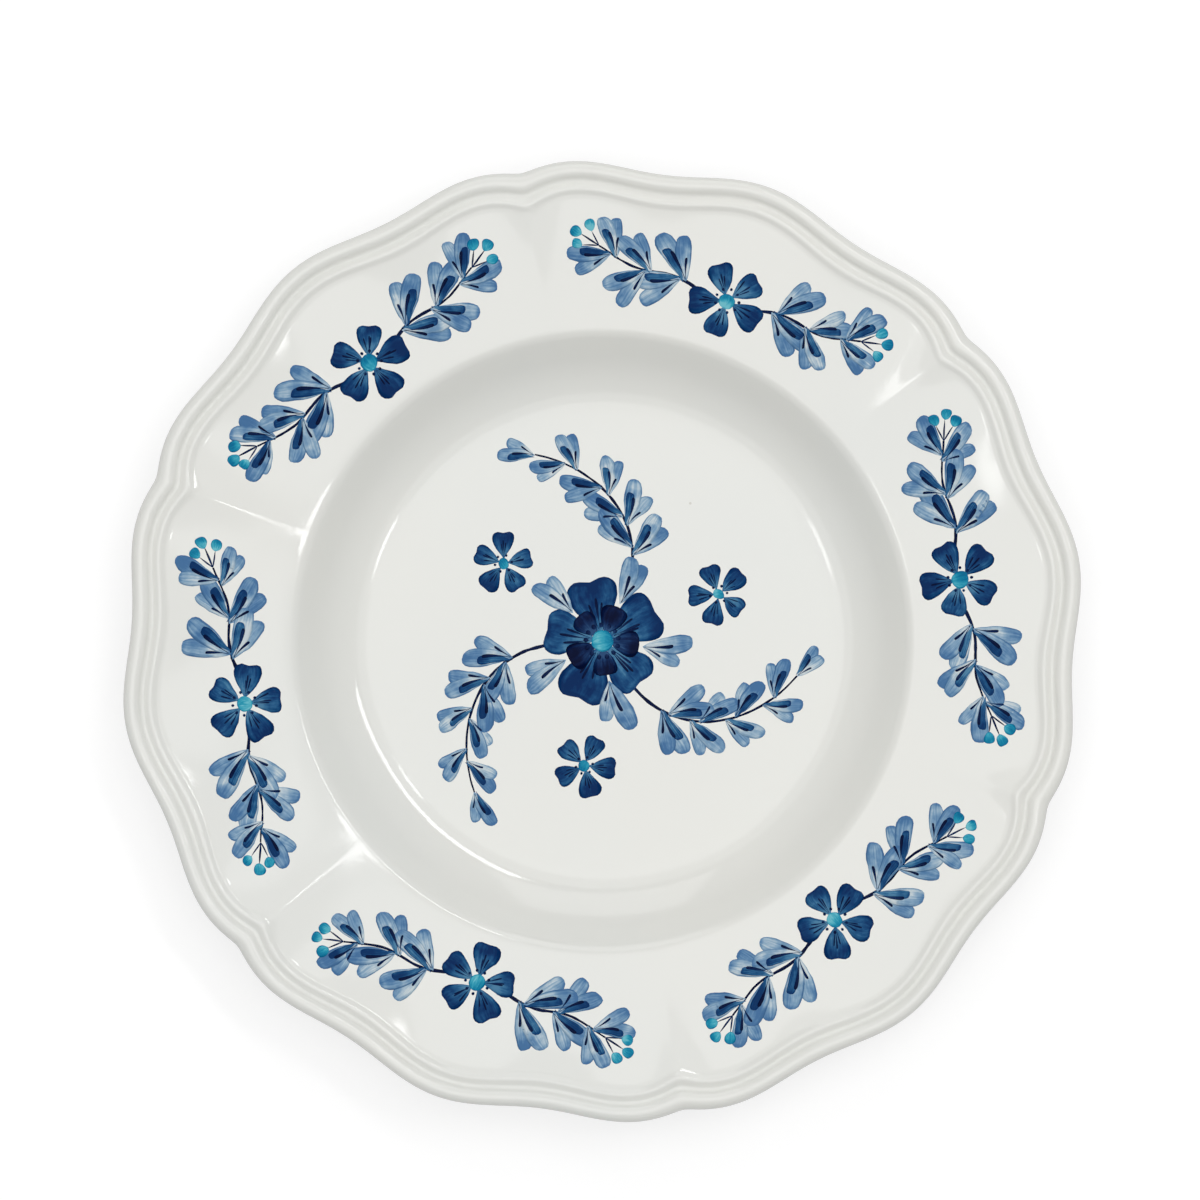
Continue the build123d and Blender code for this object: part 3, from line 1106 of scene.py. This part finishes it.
def stageFloor():
    half, level = stageSizes["floorHalfSide"], -stageSizes["floorDrop"] * mm
    corners = [(x * half, y * half, level) for x, y in ((-1, -1), (1, -1), (1, 1), (-1, 1))]
    floor = meshPiece("floor", corners, faces=[(0, 1, 2, 3)])
    material, tree, shader = newMaterial("paleFloor")
    shader.inputs["Base Color"].default_value = (*[stageSizes["floorGrey"]] * 3, 1.0)
    shader.inputs["Roughness"].default_value = 0.9
    shader.inputs["Specular IOR Level"].default_value = 0.0

    # white to the eye and in every reflection, while the plate gets no more light from it
    rays = tree.nodes.new("ShaderNodeLightPath").outputs
    seen = calc(tree, "MAXIMUM", rays["Is Camera Ray"], rays["Is Glossy Ray"])
    seen = calc(tree, "MAXIMUM", seen, rays["Is Transmission Ray"])
    glow = nodeOf(tree, "ShaderNodeEmission", {
        "Color": (1.0, 1.0, 1.0, 1.0),
        "Strength": calc(tree, "MULTIPLY", seen, stageSizes["floorGlow"]),
    })
    both = nodeOf(tree, "ShaderNodeAddShader", {0: shader.outputs[0], 1: glow.outputs[0]})
    feed(tree, tree.nodes["Material Output"].inputs["Surface"], both.outputs[0])
    floor.data.materials.append(material)


def seenFrom(right, up, height):
    # a place given in the camera's own right and up directions
    roll = radians(-stageSizes["crestAngle"])
    return (right * cos(roll) - up * sin(roll), right * sin(roll) + up * cos(roll), height)


def softbox(name, bearing, tilt, distance, size, power, shape):
    # bearing is counted from the right of the frame, tilt from straight overhead
    out, height = distance * sin(radians(tilt)), distance * cos(radians(tilt))
    place = Vector(seenFrom(out * cos(radians(bearing)), out * sin(radians(bearing)), height))
    light = bpy.data.lights.new(name, "AREA")
    light.shape = shape
    light.size, light.size_y = size
    light.energy = power
    lamp = bpy.data.objects.new(name, light)
    lamp.location = place
    lamp.rotation_euler = place.to_track_quat("Z", "Y").to_euler()
    scene.collection.objects.link(lamp)


world = bpy.data.worlds.new("studio")
world.use_nodes = True
background = world.node_tree.nodes["Background"]
background.inputs["Color"].default_value = (1.0, 1.0, 1.0, 1.0)
background.inputs["Strength"].default_value = stageSizes["worldStrength"]
scene.world = world
stageFloor()
for box in softboxes:
    softbox(*box)
print("stage set,", len(softboxes), "lamps")

camera = bpy.data.cameras.new("camera")
view = bpy.data.objects.new("camera", camera)
view.location = seenFrom(
    -stageSizes["plateRight"] * mm, stageSizes["plateLow"] * mm, stageSizes["viewHeight"],
)
view.rotation_euler = (0.0, 0.0, radians(-stageSizes["crestAngle"]))
distance = stageSizes["viewHeight"] - lipHeight * mm
camera.lens = camera.sensor_width * distance / (stageSizes["frameWidth"] * mm)
camera.clip_end = 20.0
scene.collection.objects.link(view)
scene.camera = view
scene.view_settings.view_transform = "Standard"
